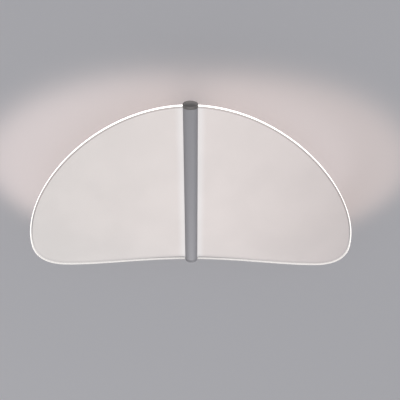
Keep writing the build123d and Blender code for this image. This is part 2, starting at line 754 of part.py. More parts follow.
capacitor_y = transformer_length / 2 + component_gap + capacitor_length / 2
with BuildPart() as driver_capacitors:
    with BuildSketch(Plane.XZ):
        with Locations((0, board_underside - capacitor_diameter / 2)):
            Circle(capacitor_diameter / 2)
    extrude(amount=capacitor_y + capacitor_length / 2, both=True)
    with BuildSketch(Plane.XZ):
        with Locations((0, board_underside - capacitor_diameter / 2)):
            Circle(capacitor_diameter)
    extrude(amount=capacitor_y - capacitor_length / 2, both=True, mode=Mode.SUBTRACT)
driver_capacitors.part.label = "driver_capacitors"
export_step(driver_capacitors.part, "parts/driver_capacitors.step")

with BuildPart() as driver_pads:
    with BuildSketch(Plane.XY.offset(canopy_floor)):
        with GridLocations(0, driver_length - driver_pad_length, 1, 2):
            Rectangle(driver_width - 2 * driver_wall, driver_pad_length)
    extrude(amount=driver_pad_thickness)
driver_pads.part.label = "driver_pads"
export_step(driver_pads.part, "parts/driver_pads.step")


# Wires: six-sided cores along straight runs joined by tangent arcs
def wire(points, radii, diameter):
    with BuildPart() as core:
        with BuildLine() as route:
            FilletPolyline(*points, radius=radii)
        with BuildSketch(Plane(origin=route.line @ 0, z_dir=route.line % 0)):
            RegularPolygon(diameter / 2, wire_sides)
        sweep(path=route.line)
    return core.part


# Mains wires go from the driver's board up into the two poles of the terminal block
mains_turn_y = -stem_spacing / 2 + mains_turn
mains_rise = pole_wire_z - mains_wire_z
mains_radius = mains_rise * mains_bend_share
pole_entry_y = -terminal_y - pole_screw_spacing / 2 + pole_screw_diameter
for name, side in (("live", -1), ("neutral", 1)):
    x = side * pole_spacing / 2
    mains_route = [
        (x, -driver_end + driver_wall + driver_ledge, mains_wire_z),
        (x, mains_turn_y, mains_wire_z),
        (x, mains_turn_y, pole_wire_z),
        (x, pole_entry_y, pole_wire_z),
    ]
    mains_wire = wire(mains_route, [mains_radius, mains_radius], mains_wire_diameter)
    mains_wire.label = f"mains_wire_{name}"
    export_step(mains_wire, f"parts/mains_wire_{name}.step")

# The earth wire joins the two lugs in a wide bend beside the canopy's near end
earth_turn_y = -canopy_length / 2 + earth_turn
earth_low_z = washer_top + lug_barrel_diameter / 2
earth_high_z = stud_washer_bottom - lug_barrel_diameter / 2
lug_grip = lug_neck + lug_thickness + overrun
earth_radius = (earth_high_z - earth_low_z) * earth_bend_share
earth_route = [
    (0, stem_lug_y - stem_lug_diameter / 2 - lug_grip, earth_low_z),
    (0, earth_turn_y, earth_low_z),
    (0, earth_turn_y, earth_high_z),
    (0, -earth_stud_y - stud_lug_diameter / 2 - lug_grip, earth_high_z),
]
earth_wire = wire(earth_route, [earth_radius, earth_radius], earth_wire_diameter)
earth_wire.label = "earth_wire"
export_step(earth_wire, "parts/earth_wire.step")

# Each light strip has a pair of leads: through the far stem, along the duct and down
lead_bore_y = stem_spacing / 2 - nipple_bore / 2 + 2 * lead_diameter
lead_low_z = axis_z + duct_floor + lead_diameter
pad_z = axis_z + board_width / 4
for name, side in (("left", -1), ("right", 1)):
    leads = []
    for order in (0, 1):
        x = side * (lead_spacing / 2 + (1 - order) * lead_spacing)
        run_z = lead_low_z + order * lead_spacing
        drop_y = lead_drop_y - lead_diameter + order * 2 * lead_diameter
        lead_route = [
            (x, driver_end - driver_wall - driver_ledge, lead_z),
            (x, lead_bore_y, lead_z),
            (x, lead_bore_y, run_z),
            (side * lead_drop_x, drop_y, run_z),
            (side * lead_drop_x, drop_y, pad_z),
        ]
        lead_radii = [lead_bend_radius, lead_bend_radius, lead_drop_radius]
        leads.append(wire(lead_route, lead_radii, lead_diameter))
    with BuildPart() as led_leads:
        add(leads)
    led_leads.part.label = f"led_leads_{name}"
    export_step(led_leads.part, f"parts/led_leads_{name}.step")
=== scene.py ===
import bmesh
import bpy
import json
import math
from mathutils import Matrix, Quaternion, Vector
from mathutils.geometry import delaunay_2d_cdt, interpolate_bezier


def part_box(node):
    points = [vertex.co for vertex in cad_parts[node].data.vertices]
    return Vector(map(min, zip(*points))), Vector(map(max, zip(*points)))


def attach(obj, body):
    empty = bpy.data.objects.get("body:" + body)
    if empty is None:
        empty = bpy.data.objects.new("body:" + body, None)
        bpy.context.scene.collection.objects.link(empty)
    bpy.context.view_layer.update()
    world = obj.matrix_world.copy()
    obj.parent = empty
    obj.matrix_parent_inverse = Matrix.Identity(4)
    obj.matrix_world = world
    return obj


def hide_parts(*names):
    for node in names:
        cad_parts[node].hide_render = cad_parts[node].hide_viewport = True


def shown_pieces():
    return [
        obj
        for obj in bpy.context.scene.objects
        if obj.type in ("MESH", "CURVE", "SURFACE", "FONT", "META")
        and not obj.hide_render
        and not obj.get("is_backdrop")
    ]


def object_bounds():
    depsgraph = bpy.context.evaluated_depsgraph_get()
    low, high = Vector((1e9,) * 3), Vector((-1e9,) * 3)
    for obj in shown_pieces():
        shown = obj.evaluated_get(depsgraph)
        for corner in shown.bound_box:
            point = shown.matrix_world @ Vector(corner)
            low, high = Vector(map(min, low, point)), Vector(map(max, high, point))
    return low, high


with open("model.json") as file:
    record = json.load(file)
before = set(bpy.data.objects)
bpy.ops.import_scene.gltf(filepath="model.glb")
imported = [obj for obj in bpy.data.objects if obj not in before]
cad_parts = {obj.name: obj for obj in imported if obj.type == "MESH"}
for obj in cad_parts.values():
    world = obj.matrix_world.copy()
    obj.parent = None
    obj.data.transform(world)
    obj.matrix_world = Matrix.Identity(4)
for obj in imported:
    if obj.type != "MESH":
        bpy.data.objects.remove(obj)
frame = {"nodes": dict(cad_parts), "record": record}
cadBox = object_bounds()
nodes = frame["nodes"]
mm = 0.001
print("frame loaded with", len(nodes), "nodes")


# small helpers for objects and node trees

def addObject(name, data):
    holder = bpy.data.objects.new(name, data)
    bpy.context.scene.collection.objects.link(holder)
    return holder


def addPiece(name, mesh, replaced, materials):
    piece = addObject(name, mesh)
    for material in materials:
        mesh.materials.append(material)
    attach(piece, "root")
    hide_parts(*replaced)


def newMaterial(name):
    material = bpy.data.materials.new(name)
    material.use_nodes = True
    tree = material.node_tree
    tree.nodes.clear()
    shader = tree.nodes.new("ShaderNodeBsdfPrincipled")
    output = tree.nodes.new("ShaderNodeOutputMaterial")
    tree.links.new(shader.outputs["BSDF"], output.inputs["Surface"])
    return material, tree, shader


def mathNode(tree, operation, first, second=None, third=None):
    node = tree.nodes.new("ShaderNodeMath")
    node.operation = operation
    for index, value in enumerate((first, second, third)):
        if isinstance(value, (int, float)):
            node.inputs[index].default_value = value
        elif value is not None:
            tree.links.new(value, node.inputs[index])
    return node.outputs[0]


def rangeNode(tree, value, fromLow, fromHigh, toLow, toHigh, kind="SMOOTHSTEP"):
    node = tree.nodes.new("ShaderNodeMapRange")
    node.interpolation_type = kind
    tree.links.new(value, node.inputs["Value"])
    limits = {"From Min": fromLow, "From Max": fromHigh, "To Min": toLow, "To Max": toHigh}
    for socket, number in limits.items():
        node.inputs[socket].default_value = number
    return node.outputs["Result"]


def mixColour(tree, factor, first, second):
    node = tree.nodes.new("ShaderNodeMix")
    node.data_type = "RGBA"
    for socket, value in (("Factor", factor), ("A", first), ("B", second)):
        target = [s for s in node.inputs if s.name == socket and s.enabled][0]
        if isinstance(value, tuple):
            target.default_value = (*value, 1)
        else:
            tree.links.new(value, target)
    return [s for s in node.outputs if s.enabled][0]


def objectVector(tree, stretch=(1, 1, 1)):
    place = tree.nodes.new("ShaderNodeTexCoord")
    mapping = tree.nodes.new("ShaderNodeMapping")
    mapping.inputs["Scale"].default_value = stretch
    tree.links.new(place.outputs["Object"], mapping.inputs["Vector"])
    return mapping.outputs["Vector"]


def useGroup(tree, group, **values):
    # a placed group with its named inputs set or linked
    node = tree.nodes.new("ShaderNodeGroup")
    node.node_tree = group
    for name, value in values.items():
        socket = node.inputs[name]
        if isinstance(value, bpy.types.NodeSocket):
            tree.links.new(value, socket)
        else:
            socket.default_value = value
    return node


def newGroup(name, inputs, outputs):
    group = bpy.data.node_groups.new(name, "ShaderNodeTree")
    for socket, kind, start in inputs:
        item = group.interface.new_socket(socket, in_out="INPUT", socket_type=kind)
        if start is not None:
            item.default_value = start
    for socket, kind in outputs:
        group.interface.new_socket(socket, in_out="OUTPUT", socket_type=kind)
    return group, group.nodes.new("NodeGroupInput"), group.nodes.new("NodeGroupOutput")


# shared surface effects

noiseSpan = (0.3, 0.7)      # the part of a noise that is stretched over the whole mask


def makeGrain():
    # fine grain for coats and moulded plastic: a mask for roughness and a height for bump
    group, given, result = newGroup(
        "fineGrain",
        [("Vector", "NodeSocketVector", None), ("Scale", "NodeSocketFloat", 900.0),
         ("Detail", "NodeSocketFloat", 3.0)],
        [("Mask", "NodeSocketFloat"), ("Height", "NodeSocketFloat")])
    noise = group.nodes.new("ShaderNodeTexNoise")
    for socket in ("Vector", "Scale", "Detail"):
        group.links.new(given.outputs[socket], noise.inputs[socket])
    smooth = rangeNode(group, noise.outputs["Fac"], *noiseSpan, 0.0, 1.0)
    group.links.new(smooth, result.inputs["Mask"])
    group.links.new(noise.outputs["Fac"], result.inputs["Height"])
    return group


def makeDrift():
    # slow change between two close colours, as in any real coat or moulding
    group, given, result = newGroup(
        "colourDrift",
        [("Vector", "NodeSocketVector", None), ("Scale", "NodeSocketFloat", 14.0),
         ("First", "NodeSocketColor", None), ("Second", "NodeSocketColor", None)],
        [("Color", "NodeSocketColor")])
    noise = group.nodes.new("ShaderNodeTexNoise")
    noise.inputs["Detail"].default_value = 2.0
    group.links.new(given.outputs["Vector"], noise.inputs["Vector"])
    group.links.new(given.outputs["Scale"], noise.inputs["Scale"])
    share = rangeNode(group, noise.outputs["Fac"], *noiseSpan, 0.0, 1.0)
    colour = mixColour(group, share, given.outputs["First"], given.outputs["Second"])
    group.links.new(colour, result.inputs["Color"])
    return group


def makeDots():
    # square grid of round etched dots with soft rims, which grow away from the lamp
    group, given, result = newGroup(
        "etchedDots",
        [("Vector", "NodeSocketVector", None), ("Pitch", "NodeSocketFloat", 0.002),
         ("Small", "NodeSocketFloat", 0.2), ("Large", "NodeSocketFloat", 0.36),
         ("Reach", "NodeSocketFloat", 0.38), ("Softness", "NodeSocketFloat", 0.05)],
        [("Mask", "NodeSocketFloat")])
    split = group.nodes.new("ShaderNodeSeparateXYZ")
    group.links.new(given.outputs["Vector"], split.inputs[0])
    offsets = []
    for axis in ("X", "Y"):
        cell = mathNode(group, "DIVIDE", split.outputs[axis], given.outputs["Pitch"])
        offset = mathNode(group, "SUBTRACT", mathNode(group, "FRACT", cell), 0.5)
        offsets.append(mathNode(group, "POWER", mathNode(group, "ABSOLUTE", offset), 2.0))
    away = mathNode(group, "SQRT", mathNode(group, "ADD", *offsets))
    beside = mathNode(group, "ABSOLUTE", split.outputs["X"])
    share = mathNode(group, "DIVIDE", beside, given.outputs["Reach"])
    span = mathNode(group, "SUBTRACT", given.outputs["Large"], given.outputs["Small"])
    radius = mathNode(group, "MULTIPLY_ADD", share, span, given.outputs["Small"])
    rim = mathNode(group, "DIVIDE", mathNode(group, "SUBTRACT", radius, away), given.outputs["Softness"])
    group.links.new(rangeNode(group, rim, -1.0, 1.0, 0.0, 1.0), result.inputs["Mask"])
    return group


grainGroup = makeGrain()
driftGroup = makeDrift()
dotsGroup = makeDots()


# finishes of the opaque pieces, one entry for each material slot of the record
# first and second are the colours it drifts between, and rough is the range of its roughness

reliefDepth = 0.1 * mm
finishes = {
    "rod_paint": dict(
        first=(0.375, 0.366, 0.38), second=(0.345, 0.337, 0.35), rough=(0.36, 0.48),
        grain=1500, bump=0.10, stretch=(1, 0.06, 1)),
    # the near cap's darker colour is painted shade: it stands in for the shade on the near end, and the
    # far cap, the same part, takes rod_paint
    "cap_paint": dict(
        first=(0.19, 0.175, 0.165), second=(0.165, 0.152, 0.144), rough=(0.26, 0.36),
        grain=1200, bump=0.12),
    "canopy_paint": dict(
        first=(0.50, 0.50, 0.505), second=(0.46, 0.46, 0.465), rough=(0.45, 0.58),
        grain=1400, bump=0.14),
    "zinc_steel": dict(
        first=(0.62, 0.63, 0.65), second=(0.48, 0.49, 0.51), rough=(0.25, 0.42),
        grain=260, bump=0.06, metal=1.0, drift=120),
    "brass": dict(
        first=(0.74, 0.56, 0.26), second=(0.62, 0.45, 0.2), rough=(0.22, 0.38),
        grain=700, bump=0.05, metal=1.0, drift=60),
    "rubber": dict(
        first=(0.035, 0.035, 0.036), second=(0.05, 0.05, 0.05), rough=(0.7, 0.85),
        grain=900, bump=0.3),
    "strip_plastic": dict(
        first=(0.72, 0.71, 0.67), second=(0.66, 0.65, 0.61), rough=(0.4, 0.5),
        grain=600, bump=0.1),
    "adhesive": dict(
        first=(0.5, 0.5, 0.49), second=(0.42, 0.42, 0.41), rough=(0.75, 0.9),
        grain=500, bump=0.4),
    "board_white": dict(
        first=(0.82, 0.82, 0.80), second=(0.76, 0.76, 0.73), rough=(0.3, 0.42),
        grain=900, bump=0.08),
    "led_yellow": dict(
        first=(0.9, 0.72, 0.25), second=(0.86, 0.66, 0.2), rough=(0.3, 0.4),
        grain=900, bump=0.1),
    "terminal_plastic": dict(
        first=(0.80, 0.78, 0.70), second=(0.74, 0.72, 0.64), rough=(0.38, 0.5),
        grain=700, bump=0.12),
    "driver_plastic": dict(
        first=(0.78, 0.78, 0.77), second=(0.72, 0.72, 0.71), rough=(0.4, 0.55),
        grain=1100, bump=0.25),
    "driver_board": dict(
        first=(0.06, 0.24, 0.10), second=(0.04, 0.18, 0.08), rough=(0.3, 0.4),
        grain=700, bump=0.1),
    "ferrite": dict(
        first=(0.06, 0.06, 0.065), second=(0.10, 0.10, 0.10), rough=(0.5, 0.65),
        grain=600, bump=0.2),
    "wire_brown": dict(
        first=(0.20, 0.09, 0.04), second=(0.16, 0.07, 0.03), rough=(0.35, 0.45),
        grain=900, bump=0.08),
    "wire_blue": dict(
        first=(0.04, 0.12, 0.42), second=(0.03, 0.1, 0.36), rough=(0.35, 0.45),
        grain=900, bump=0.08),
    "wire_earth": dict(
        first=(0.32, 0.5, 0.05), second=(0.28, 0.45, 0.04), rough=(0.35, 0.45),
        grain=900, bump=0.08),
    "wire_lead": dict(
        first=(0.78, 0.77, 0.74), second=(0.7, 0.69, 0.66), rough=(0.4, 0.5),
        grain=900, bump=0.08),
}


def makeFinish(name, first, second, rough, grain, bump, stretch=(1, 1, 1), metal=0.0, drift=14):
    material, tree, shader = newMaterial(name)
    place = objectVector(tree, stretch)
    colour = useGroup(tree, driftGroup, Vector=place, Scale=float(drift),
                      First=(*first, 1), Second=(*second, 1))
    tree.links.new(colour.outputs["Color"], shader.inputs["Base Color"])
    texture = useGroup(tree, grainGroup, Vector=place, Scale=float(grain))
    tree.links.new(rangeNode(tree, texture.outputs["Mask"], 0.0, 1.0, *rough, kind="LINEAR"),
                   shader.inputs["Roughness"])
    relief = tree.nodes.new("ShaderNodeBump")
    relief.inputs["Strength"].default_value = bump
    relief.inputs["Distance"].default_value = reliefDepth
    tree.links.new(texture.outputs["Height"], relief.inputs["Height"])
    tree.links.new(relief.outputs["Normal"], shader.inputs["Normal"])
    shader.inputs["Metallic"].default_value = metal
    return material


finishMaterials = {slot: makeFinish(slot, **entry) for slot, entry in finishes.items()}
print("finishes made:", len(finishMaterials))


# wings: clear sheets with an etched field, a clear border and a bright polished edge

wing = {
    # the shape, in millimetres: the right wing's outline from the near end of the rod to the far end
    "curves": (
        ((0, -197), (200, -197), (380, 14), (380, 158)),
        ((380, 158), (380, 201), (349, 218), (306, 218)),
        ((306, 218), (216, 218), (120, 198.5), (0, 198.5)),
    ),
    "steps": (96, 44, 72),
    "sheetInner": 15.2,
    "tongueInner": 4.6,
    "tongueHalf": 192.8,
    "chamfer": 0.6,
    "insets": (1.2, 2.0, 3.0, 5.0, 7.0, 9.0, 12.0),
    "insetGap": 0.5,               # how far the inset lines stay from the rod's side
    "gridStep": 22.0,
    "gridRows": range(-9, 11),
    "sharpAngle": 60,
    # the polished edge and the bright band beside it
    "edgeBand": (0.7, 1.9),        # full brightness ends here, and has faded here
    "edgeColour": (1.0, 0.80, 0.68),
    "edgeStrength": 2.2,
    "edgeShares": (0.9, 0.8, 0.3, 0.06),    # at the arch's start, its end, the lobe and the far end
    "edgeLevelling": 0.12,         # how far the eye evens these out, as the edge is too bright to tell
    "edgeGain": 0.25,              # how much of what the edge shows it throws on the ceiling
    "edgeBase": (0.7, 0.7, 0.7),
    "edgeRoughness": 0.15,
    "innerWall": 0.4,              # the edge as it shows through the sheet, against its outer side
    "bandColour": (1.0, 0.96, 0.92),
    "bandSlimming": 0.28,          # how much narrower the band is where the edge is dimmer
    "bandStrength": 1.6,
    "streakStretch": (1, 1, 8),
    "streakScale": 400.0,
    "streakLevels": (0.9, 1.0),
    # the clear border and the etched field
    "clearBorder": (3.2, 5.0),     # the etched field starts and is complete here
    "borderLevel": 0.10,
    "borderAlpha": 0.22,
    "borderColour": (0.03, 0.03, 0.03),
    "fieldColours": ((1.0, 0.935, 0.90), (1.0, 0.885, 0.86)),   # at the left tip and at the right tip
    "fieldLevel": 0.407,
    "fieldAlpha": 0.72,
    "fieldGain": 0.25,             # how much of what the faces show they throw on the ceiling
    "tipShares": (0.85, 0.68),     # brightness that is left at the left tip and at the right tip
    "besideRod": (0.016, 0.034),   # the brighter strip along the rod is full here, and has faded here
    "besideRodColour": (0.98, 0.965, 0.975),
    "besideRodTint": 0.6,
    "rodBoost": 0.13,
    "dotPitch": 1.6,
    "dotColour": (0.28, 0.28, 0.28),
    "dotLevels": (0.98, 1.05),     # brightness between the dots and on them
    "dotAlpha": 0.06,
    "unevenScale": 11.0,
    "unevenLevels": (0.975, 1.015),
    "sheetColour": (0.24, 0.24, 0.24),
    "sheetRoughness": (0.12, 0.35),    # between the dots and on them
    "sheetIndex": 1.49,
}


def cutAtRod(before, after):
    # the point where the outline passes the rod's side
    share = (wing["sheetInner"] - before.x) / (after.x - before.x)
    return before.lerp(after, share)


def wingOutline():
    # the curved edge from one side of the rod's cut to the other, as points
    points = []
    for curve, steps in zip(wing["curves"], wing["steps"]):
        part = [p.xy for p in interpolate_bezier(*[Vector((*p, 0)) for p in curve], steps + 1)]
        points += part if not points else part[1:]
    kept = [index for index, p in enumerate(points) if p.x > wing["sheetInner"]]
    first, last = kept[0], kept[-1]
    start = cutAtRod(points[first - 1], points[first])
    finish = cutAtRod(points[last + 1], points[last])
    return [start, *points[first:last + 1], finish]


def edgeShare(place):
    # how bright the edge is along the outline: full on the arch, fading round the lobe to the far end
    start, widest, lobe, finish = wing["edgeShares"]
    (widestX, widestY), _, _, (lobeX, lobeY) = wing["curves"][1]
    if place.y < widestY:
        return start + (widest - start) * place.x / widestX
    if place.x > lobeX:
        return widest + (lobe - widest) * (place.y - widestY) / (lobeY - widestY)
    return finish + (lobe - finish) * place.x / lobeX


def insetLine(outline, distance):
    # the outline moved inwards, square to itself
    line = []
    for index, point in enumerate(outline):
        before = outline[max(index - 1, 0)]
        after = outline[min(index + 1, len(outline) - 1)]
        along = (after - before).normalized()
        line.append(point + Vector((-along.y, along.x)) * distance)
    return line


def insideOutline(spot, outline):
    # counts how often a line towards +X crosses the outline
    crossings = 0
    for a, b in zip(outline, [*outline[1:], outline[0]]):
        if (a.y > spot.y) != (b.y > spot.y):
            if spot.x < a.x + (spot.y - a.y) / (b.y - a.y) * (b.x - a.x):
                crossings += 1
    return crossings % 2 == 1


def wingMesh(name, sign, half):
    # a flat sheet with chamfered walls; two attributes hold the distance to the edge and its brightness
    outline = wingOutline()
    chamfer = wing["chamfer"]
    inner, tongue, tongueHalf = wing["sheetInner"], wing["tongueInner"], wing["tongueHalf"]
    rim = insetLine(outline, chamfer)
    rim[0].x = rim[-1].x = inner
    border = rim + [Vector((x, y)) for x, y in (
        (inner, tongueHalf), (tongue, tongueHalf), (tongue, -tongueHalf), (inner, -tongueHalf))]
    flat = list(border)
    edges = []
    for inset in wing["insets"]:
        line = [p for p in insetLine(outline, inset) if p.x > inner + wing["insetGap"]]
        edges += [(len(flat) + k, len(flat) + k + 1) for k in range(len(line) - 1)]
        flat += line
    reach = max(p.x for p in outline)
    step = wing["gridStep"]
    limit = wing["insets"][-1] + step / 2
    for column in range(int(reach / step)):
        for row in wing["gridRows"]:
            spot = Vector((inner + step * (column + 0.5), step * row))
            if min((spot - p).length for p in outline) > limit and insideOutline(spot, outline):
                flat.append(spot)
    corners, _, faces, origin, _, _ = delaunay_2d_cdt(flat, edges, [list(range(len(border)))], 1, 1e-5)
    where = {source: index for index, sources in enumerate(origin) for source in sources}
    mesh = bpy.data.meshes.new(name)
    build = bmesh.new()
    depth = build.verts.layers.float.new("edgeDistance")
    share = build.verts.layers.float.new("edgeShare")
    spans = [min((c - p).length for p in outline) if c.x > inner - 0.1 else limit for c in corners]
    nearest = [min(outline, key=lambda p: (c - p).length) for c in corners]
    layers = []
    for height in (half, -half):
        layer = [build.verts.new((c.x, c.y, height)) for c in corners]
        for vertex, span, place in zip(layer, spans, nearest):
            vertex[depth] = span
            vertex[share] = edgeShare(place)
        layers.append(layer)
    for face in faces:
        build.faces.new([layers[0][k] for k in face])
        build.faces.new([layers[1][k] for k in reversed(face)])
    walls = []
    for height in (half - chamfer, chamfer - half):
        wall = [build.verts.new((p.x, p.y, height)) for p in outline]
        for vertex, place in zip(wall, outline):
            vertex[share] = edgeShare(place)
        walls.append(wall)
    top, bottom = ([layer[where[k]] for k in range(len(border))] for layer in layers)
    count = len(outline)
    for k in range(count - 1):
        for upper, lower in ((top, walls[0]), (walls[0], walls[1]), (walls[1], bottom)):
            build.faces.new((upper[k], lower[k], lower[k + 1], upper[k + 1])).material_index = 1
    for k in range(count, len(border) - 1):
        build.faces.new((top[k], bottom[k], bottom[k + 1], top[k + 1]))
    for k, other in ((0, len(border) - 1), (count - 1, count)):
        build.faces.new((top[k], walls[0][k], walls[1][k], bottom[k], bottom[other], top[other]))
    for vertex in build.verts:
        vertex.co.x *= sign
    bmesh.ops.scale(build, vec=(mm, mm, mm), verts=build.verts)
    bmesh.ops.recalc_face_normals(build, faces=build.faces)
    build.to_mesh(mesh)
    build.free()
    mesh.shade_smooth()
    mesh.set_sharp_from_angle(angle=math.radians(wing["sharpAngle"]))
    return mesh


def attributeNode(tree, name):
    node = tree.nodes.new("ShaderNodeAttribute")
    node.attribute_name = name
    return node.outputs["Fac"]


def scaleColour(tree, colour, level):
    node = tree.nodes.new("ShaderNodeVectorMath")
    node.operation = "SCALE"
    if isinstance(colour, tuple):
        node.inputs[0].default_value = colour
    else:
        tree.links.new(colour, node.inputs[0])
    tree.links.new(level, node.inputs["Scale"])
    return node.outputs["Vector"]


def makeFieldMaterial():
    # the sheet's faces: etched dots that scatter the light, a clear border and the band beside the edge
    material, tree, shader = newMaterial("etchedAcrylic")
    depth = attributeNode(tree, "edgeDistance")
    share = attributeNode(tree, "edgeShare")
    place = objectVector(tree)
    dots = useGroup(tree, dotsGroup, Vector=place, Pitch=wing["dotPitch"] * mm).outputs["Mask"]

    # where the edge is dimmer, the bright band is narrower and the clear border shows wider
    slim = mathNode(tree, "POWER", share, wing["bandSlimming"])
    band = rangeNode(tree, mathNode(tree, "DIVIDE", depth, slim), *wing["edgeBand"], 1.0, 0.0)
    lit = mathNode(tree, "MULTIPLY", band, mathNode(tree, "POWER", share, wing["edgeLevelling"]))
    field = rangeNode(tree, mathNode(tree, "MULTIPLY", depth, slim), *wing["clearBorder"], 0.0, 1.0)
    marks = mathNode(tree, "MULTIPLY", dots, field)

    # the field dims from the rod towards both tips, with a brighter strip along the rod
    split = tree.nodes.new("ShaderNodeSeparateXYZ")
    tree.links.new(place, split.inputs[0])
    away = mathNode(tree, "ABSOLUTE", split.outputs["X"])
    reach = cadBox[1].x
    across = rangeNode(tree, split.outputs["X"], -reach, reach, 0.0, 1.0, kind="LINEAR")
    tip = rangeNode(tree, across, 0.0, 1.0, *wing["tipShares"], kind="LINEAR")
    loss = mathNode(tree, "MULTIPLY", mathNode(tree, "SUBTRACT", tip, 1.0), away)
    fall = mathNode(tree, "MULTIPLY_ADD", loss, 1.0 / reach, 1.0)
    beside = rangeNode(tree, away, *wing["besideRod"], 1.0, 0.0)
    leak = mathNode(tree, "MULTIPLY", beside, wing["rodBoost"])

    # small differences: the dots and a slow unevenness
    dotted = rangeNode(tree, dots, 0.0, 1.0, *wing["dotLevels"], kind="LINEAR")
    drift = useGroup(tree, grainGroup, Vector=place, Scale=wing["unevenScale"]).outputs["Mask"]
    uneven = rangeNode(tree, drift, 0.0, 1.0, *wing["unevenLevels"])
    body = mathNode(tree, "MULTIPLY", mathNode(tree, "ADD", fall, leak),
                    mathNode(tree, "MULTIPLY", dotted, uneven))

    # emission: what the camera sees, and less of it for every other ray
    glow = rangeNode(tree, field, 0.0, 1.0, wing["borderLevel"], wing["fieldLevel"], kind="LINEAR")
    level = mathNode(tree, "MAXIMUM", mathNode(tree, "MULTIPLY", glow, body), lit)
    tint = mixColour(tree, mathNode(tree, "MULTIPLY", beside, wing["besideRodTint"]),
                     mixColour(tree, across, *wing["fieldColours"]), wing["besideRodColour"])
    tint = mixColour(tree, lit, tint, wing["bandColour"])
    seen = tree.nodes.new("ShaderNodeLightPath").outputs["Is Camera Ray"]
    gain = rangeNode(tree, seen, 0.0, 1.0, wing["fieldGain"], 1.0, kind="LINEAR")
    tree.links.new(scaleColour(tree, tint, mathNode(tree, "MULTIPLY", level, gain)),
                   shader.inputs["Emission Color"])
    shader.inputs["Emission Strength"].default_value = wing["bandStrength"]

    milky = rangeNode(tree, field, 0.0, 1.0, wing["borderAlpha"], wing["fieldAlpha"], kind="LINEAR")
    cover = mathNode(tree, "MULTIPLY_ADD", marks, wing["dotAlpha"], milky)
    tree.links.new(mathNode(tree, "MINIMUM", mathNode(tree, "MAXIMUM", cover, lit), 1.0),
                   shader.inputs["Alpha"])
    sheet = mixColour(tree, field, wing["borderColour"], wing["sheetColour"])
    tree.links.new(mixColour(tree, marks, sheet, wing["dotColour"]), shader.inputs["Base Color"])
    tree.links.new(rangeNode(tree, dots, 0.0, 1.0, *wing["sheetRoughness"], kind="LINEAR"),
                   shader.inputs["Roughness"])
    shader.inputs["IOR"].default_value = wing["sheetIndex"]
    return material


def makeEdgeMaterial():
    # the polished edge, where the guided light leaves the sheet; its share counts fully for what it
    # throws on the ceiling, and is nearly evened out in what the camera sees
    material, tree, shader = newMaterial("litEdge")
    share = attributeNode(tree, "edgeShare")
    seen = tree.nodes.new("ShaderNodeLightPath").outputs["Is Camera Ray"]
    facing = tree.nodes.new("ShaderNodeNewGeometry")
    outward = rangeNode(tree, facing.outputs["Backfacing"], 0.0, 1.0, 1.0, wing["innerWall"],
                        kind="LINEAR")
    thrown = mathNode(tree, "MULTIPLY", mathNode(tree, "MULTIPLY", share, wing["edgeGain"]), outward)
    shown = mathNode(tree, "MULTIPLY", mathNode(tree, "POWER", share, wing["edgeLevelling"]), outward)
    level = mathNode(tree, "ADD", mathNode(tree, "MULTIPLY", shown, seen),
                     mathNode(tree, "MULTIPLY", thrown, mathNode(tree, "SUBTRACT", 1.0, seen)))
    streaks = useGroup(tree, grainGroup, Vector=objectVector(tree, wing["streakStretch"]),
                       Scale=wing["streakScale"]).outputs["Mask"]
    level = mathNode(tree, "MULTIPLY", level,
                     rangeNode(tree, streaks, 0.0, 1.0, *wing["streakLevels"], kind="LINEAR"))
    colour = mixColour(tree, seen, wing["edgeColour"], wing["bandColour"])
    tree.links.new(scaleColour(tree, colour, level), shader.inputs["Emission Color"])
    shader.inputs["Emission Strength"].default_value = wing["edgeStrength"]
    shader.inputs["Base Color"].default_value = (*wing["edgeBase"], 1)
    shader.inputs["Roughness"].default_value = wing["edgeRoughness"]
    return material


sides = {"left": -1, "right": 1}
wingMaterials = [makeFieldMaterial(), makeEdgeMaterial()]
low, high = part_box("wing_right")
halfSheet, sheetMiddle = (high.z - low.z) / 2, (high.z + low.z) / 2
for side, sign in sides.items():
    mesh = wingMesh("wing" + side.title(), sign, halfSheet / mm)
    for vertex in mesh.vertices:
        vertex.co.z += sheetMiddle
    addPiece("wing" + side.title(), mesh, ["wing_" + side], wingMaterials)
print("wings made")


# round and folded pieces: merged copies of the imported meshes, shaded smooth across their facets

smoothPieces = {
    # the two end caps are lit and shaded copies of one material: the near cap's darker cap_paint is
    # painted shade, and the far cap takes the rod's lighter paint
    "rod_tube": "rod_paint", "end_cap_near": "cap_paint", "end_cap_far": "rod_paint",
    "stem_sleeve_near": "rod_paint", "stem_sleeve_far": "rod_paint", "canopy": "canopy_paint",
    "cable_bushing": "rubber",
}
mergeDistance = 0.002 * mm
copySharpAngle = 28


def smoothCopy(node, slot):
    build = bmesh.new()
    build.from_mesh(nodes[node].data)
    bmesh.ops.remove_doubles(build, verts=build.verts, dist=mergeDistance)
    mesh = bpy.data.meshes.new(node + "Finished")
    build.to_mesh(mesh)
    build.free()
    mesh.shade_smooth()
    mesh.set_sharp_from_angle(angle=math.radians(copySharpAngle))
    addPiece(node + "Finished", mesh, [node], [finishMaterials[slot]])


for node, slot in smoothPieces.items():
    smoothCopy(node, slot)
print("smooth copies made:", len(smoothPieces))


# repeated pieces, grown with geometry nodes and kept as plain meshes

grownSharpAngle = 32


def newTree(name, inputs):
    tree = bpy.data.node_groups.new(name, "GeometryNodeTree")
    tree.interface.new_socket("Geometry", in_out="INPUT", socket_type="NodeSocketGeometry")
    for label, kind, start in inputs:
        item = tree.interface.new_socket(label, in_out="INPUT", socket_type=kind)
        if start is not None:
            item.default_value = start
    tree.interface.new_socket("Geometry", in_out="OUTPUT", socket_type="NodeSocketGeometry")
    return tree, tree.nodes.new("NodeGroupInput"), tree.nodes.new("NodeGroupOutput")


def addNode(tree, kind, **inputs):
    # a node with its named inputs set or linked; names hold an underscore for a space
    node = tree.nodes.new(kind)
    for name, value in inputs.items():
        socket = [s for s in node.inputs if s.name == name.replace("_", " ") and s.enabled][0]
        if isinstance(value, bpy.types.NodeSocket):
            tree.links.new(value, socket)
        else:
            socket.default_value = value
    return node


